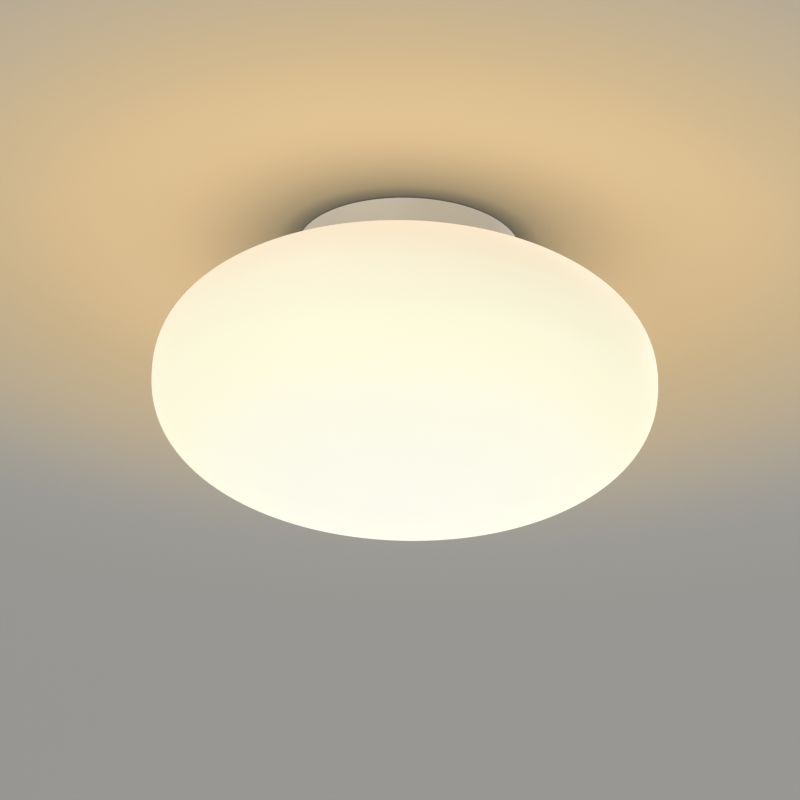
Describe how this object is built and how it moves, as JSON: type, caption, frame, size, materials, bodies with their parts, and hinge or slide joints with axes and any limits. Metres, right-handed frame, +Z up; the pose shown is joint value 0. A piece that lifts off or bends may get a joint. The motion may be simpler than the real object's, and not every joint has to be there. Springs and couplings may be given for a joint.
{
  "type": "ceiling light",
  "caption": "Flush ceiling light: a flattened opal glass shade screws up into a shallow round white canopy, with a screw-base bulb and lampholder inside.",
  "frame": {"origin": "centre of the mounting plate's upper face, in the plane of the ceiling", "axes": "+Z up into the ceiling, so that everything hangs below z = 0; X through the two fixing slots; the cable entry lies towards +Y"},
  "size_m": [0.2999, 0.3, 0.1635],
  "materials": {
    "white_paint": "satin powder coat",
    "opal_glass": "satin opal, cased white, lit from inside",
    "zinc_plate": "zinc plated",
    "zinc_screw": "bright zinc plated",
    "tinned_tag": "tinned",
    "nickel_cap": "nickel plated",
    "brass": "plain",
    "glazed_ceramic": "white glaze",
    "black_moulding": "moulded, matt",
    "ivory_moulding": "translucent moulding",
    "white_moulding": "moulded",
    "grey_rubber": "matt",
    "silicone": "translucent white",
    "brown_insulation": "silicone insulation",
    "blue_insulation": "silicone insulation",
    "green_yellow_insulation": "silicone insulation",
    "circuit_board": "glass fibre board",
    "white_board": "white solder mask",
    "phosphor": "phosphor",
    "opal_dome": "opal, lit"
  },
  "bodies": {
    "base": {"mounting_plate": "zinc_plate", "cable_grommet": "grey_rubber", "canopy_posts": "zinc_screw", "terminal_block": "ivory_moulding", "terminal_sleeves": "brass", "terminal_screws": "zinc_screw", "earth_screw": "brass", "earth_tag": "tinned_tag", "canopy": "white_paint", "canopy_screws": "zinc_screw", "gallery_cup": "white_paint", "gallery_screws": "zinc_screw", "nipple": "zinc_screw", "lock_washer": "zinc_screw", "nipple_nut": "zinc_screw", "holder_cap": "black_moulding", "holder_insert": "glazed_ceramic", "holder_screws": "brass", "holder_sleeve": "black_moulding", "screw_shell": "brass", "centre_contact": "brass", "lead_live": "brown_insulation", "lead_neutral": "blue_insulation", "lead_earth": "green_yellow_insulation"},
    "gasket": {"shade_gasket": "silicone"},
    "shade": {"glass_shade": "opal_glass"},
    "eyelet": {"bulb_contact": "tinned_tag"},
    "bulb": {"bulb_insulator": "black_moulding", "bulb_cap": "nickel_cap", "bulb_housing": "white_moulding", "bulb_driver": "circuit_board", "led_board": "white_board", "led_chips": "phosphor", "bulb_dome": "opal_dome"}
  },
  "joints": [
    {"name": "shade_drop", "type": "slide", "parent": "base", "child": "gasket", "axis": [0, 0, -1], "range_m": [0, 0.00526]},
    {"name": "shade_twist", "type": "hinge", "parent": "gasket", "child": "shade", "pos_m": [0, 0, -0.0915], "axis": [0, 0, -1], "range_deg": [0, 378]},
    {"name": "bulb_drop", "type": "slide", "parent": "base", "child": "eyelet", "axis": [0, 0, -1], "range_m": [0, 0.01634]},
    {"name": "bulb_twist", "type": "hinge", "parent": "eyelet", "child": "bulb", "pos_m": [0, 0, -0.08], "axis": [0, 0, -1], "range_deg": [0, 1620]}
  ],
  "couplings": [
    {"joint": "shade_drop", "follows": "shade_twist", "m_per_rad": 0.00079577},
    {"joint": "bulb_drop", "follows": "bulb_twist", "m_per_rad": 0.00057757}
  ]
}
